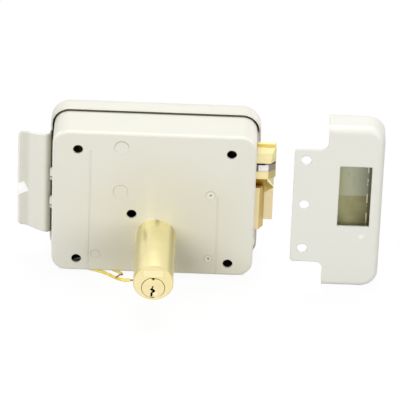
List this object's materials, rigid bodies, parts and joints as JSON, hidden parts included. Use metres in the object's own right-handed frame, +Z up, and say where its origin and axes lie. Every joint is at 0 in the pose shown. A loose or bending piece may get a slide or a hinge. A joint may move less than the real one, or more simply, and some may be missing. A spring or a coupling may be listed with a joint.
{
  "type": "electric rim lock",
  "caption": "Box-shaped electric rim lock with sprung bevelled latch, key cylinder, pull wing, lead wires and a separate strike box.",
  "frame": {"origin": "the outer cylinder's axis, at the case's door-side face", "axes": "+X the way the latch shoots, +Y into the lock away from the door, +Z up"},
  "size_m": [0.2275, 0.1001, 0.1157],
  "materials": {
    "cream_paint": "satin cream enamel",
    "brass": "satin, lightly brushed",
    "plated_steel": "zinc plated",
    "post_steel": "plated, its riveted ends painted over with the case",
    "hard_steel": "ground",
    "spring_steel": "plain wire",
    "bright_trim": "polished plating",
    "chromated_steel": "greenish passivated zinc",
    "bobbin_plastic": "moulded",
    "coil_tape": "wrapped tape",
    "terminal_plastic": "moulded",
    "yellow_insulation": "smooth",
    "copper": "stranded, dulled"
  },
  "bodies": {
    "lock_case": {"back_case": "cream_paint", "cover": "cream_paint", "cover_screws": "plated_steel", "pull_wing": "cream_paint", "wing_screws": "plated_steel", "cylinder_body": "brass", "cylinder_screws": "plated_steel", "latch_spring": "spring_steel", "spring_bracket": "plated_steel", "cocking_guide": "plated_steel", "cocking_spring": "spring_steel", "cocking_bracket": "plated_steel", "upper_cover_post": "post_steel", "lower_cover_post": "post_steel", "pivot_post": "post_steel", "guide_post": "post_steel", "terminal_post": "post_steel", "lever_clip": "spring_steel", "solenoid_yoke": "plated_steel", "solenoid_bobbin": "bobbin_plastic", "solenoid_coil": "coil_tape", "solenoid_core": "plated_steel", "plunger_spring": "spring_steel", "button_bush": "bright_trim", "button_nut": "plated_steel", "button_spring": "spring_steel", "terminal_block": "terminal_plastic", "terminal_screws": "plated_steel", "coil_leads": "yellow_insulation", "lead_wire_long": "yellow_insulation", "lead_wire_short": "yellow_insulation", "stripped_end_long": "copper", "stripped_end_short": "copper", "strike_box": "cream_paint", "strike_liner": "chromated_steel"},
    "key_plug": {"cylinder_plug": "brass", "plug_tail": "plated_steel", "cam_arm": "plated_steel"},
    "latch": {"latch_bolt": "brass", "latch_insert": "hard_steel", "latch_slide": "plated_steel", "latch_rivets": "plated_steel"},
    "cocking_bolt": {"cocking_bolt": "brass"},
    "catch": {"catch_lever": "plated_steel"},
    "plunger": {"solenoid_plunger": "plated_steel", "plunger_pin": "hard_steel", "plunger_collar": "plated_steel"},
    "button": {"release_button": "bright_trim", "button_clip": "spring_steel"}
  },
  "joints": [
    {"name": "plug_turn", "type": "hinge", "parent": "lock_case", "child": "key_plug", "pos_m": [0, 0, -0.0037], "axis": [0, -1, 0], "range_deg": [0, 75]},
    {"name": "latch_slide", "type": "slide", "parent": "lock_case", "child": "latch", "axis": [-1, 0, 0], "range_m": [0, 0.0105], "stiffness_N_per_m": 300, "springref_m": -0.01, "deforming": ["latch_spring"]},
    {"name": "cocking_slide", "type": "slide", "parent": "lock_case", "child": "cocking_bolt", "axis": [-1, 0, 0], "range_m": [0, 0.0049], "stiffness_N_per_m": 300, "springref_m": -0.004, "deforming": ["cocking_spring"]},
    {"name": "plunger_slide", "type": "slide", "parent": "lock_case", "child": "plunger", "axis": [-1, 0, 0], "range_m": [0, 0.0024], "stiffness_N_per_m": 200, "springref_m": -0.008, "deforming": ["plunger_spring"]},
    {"name": "catch_turn", "type": "hinge", "parent": "lock_case", "child": "catch", "pos_m": [-0.0226, 0.02, 0.032], "axis": [0, -1, 0], "range_deg": [0, 11.6]},
    {"name": "button_press", "type": "slide", "parent": "lock_case", "child": "button", "axis": [0, -1, 0], "range_m": [0, 0.004], "stiffness_N_per_m": 300, "springref_m": -0.003, "deforming": ["button_spring"]}
  ],
  "couplings": [
    {"joint": "plug_turn", "follows": "latch_slide", "rad_per_m": 124.66},
    {"joint": "catch_turn", "follows": "plunger_slide", "rad_per_m": 83.333}
  ]
}
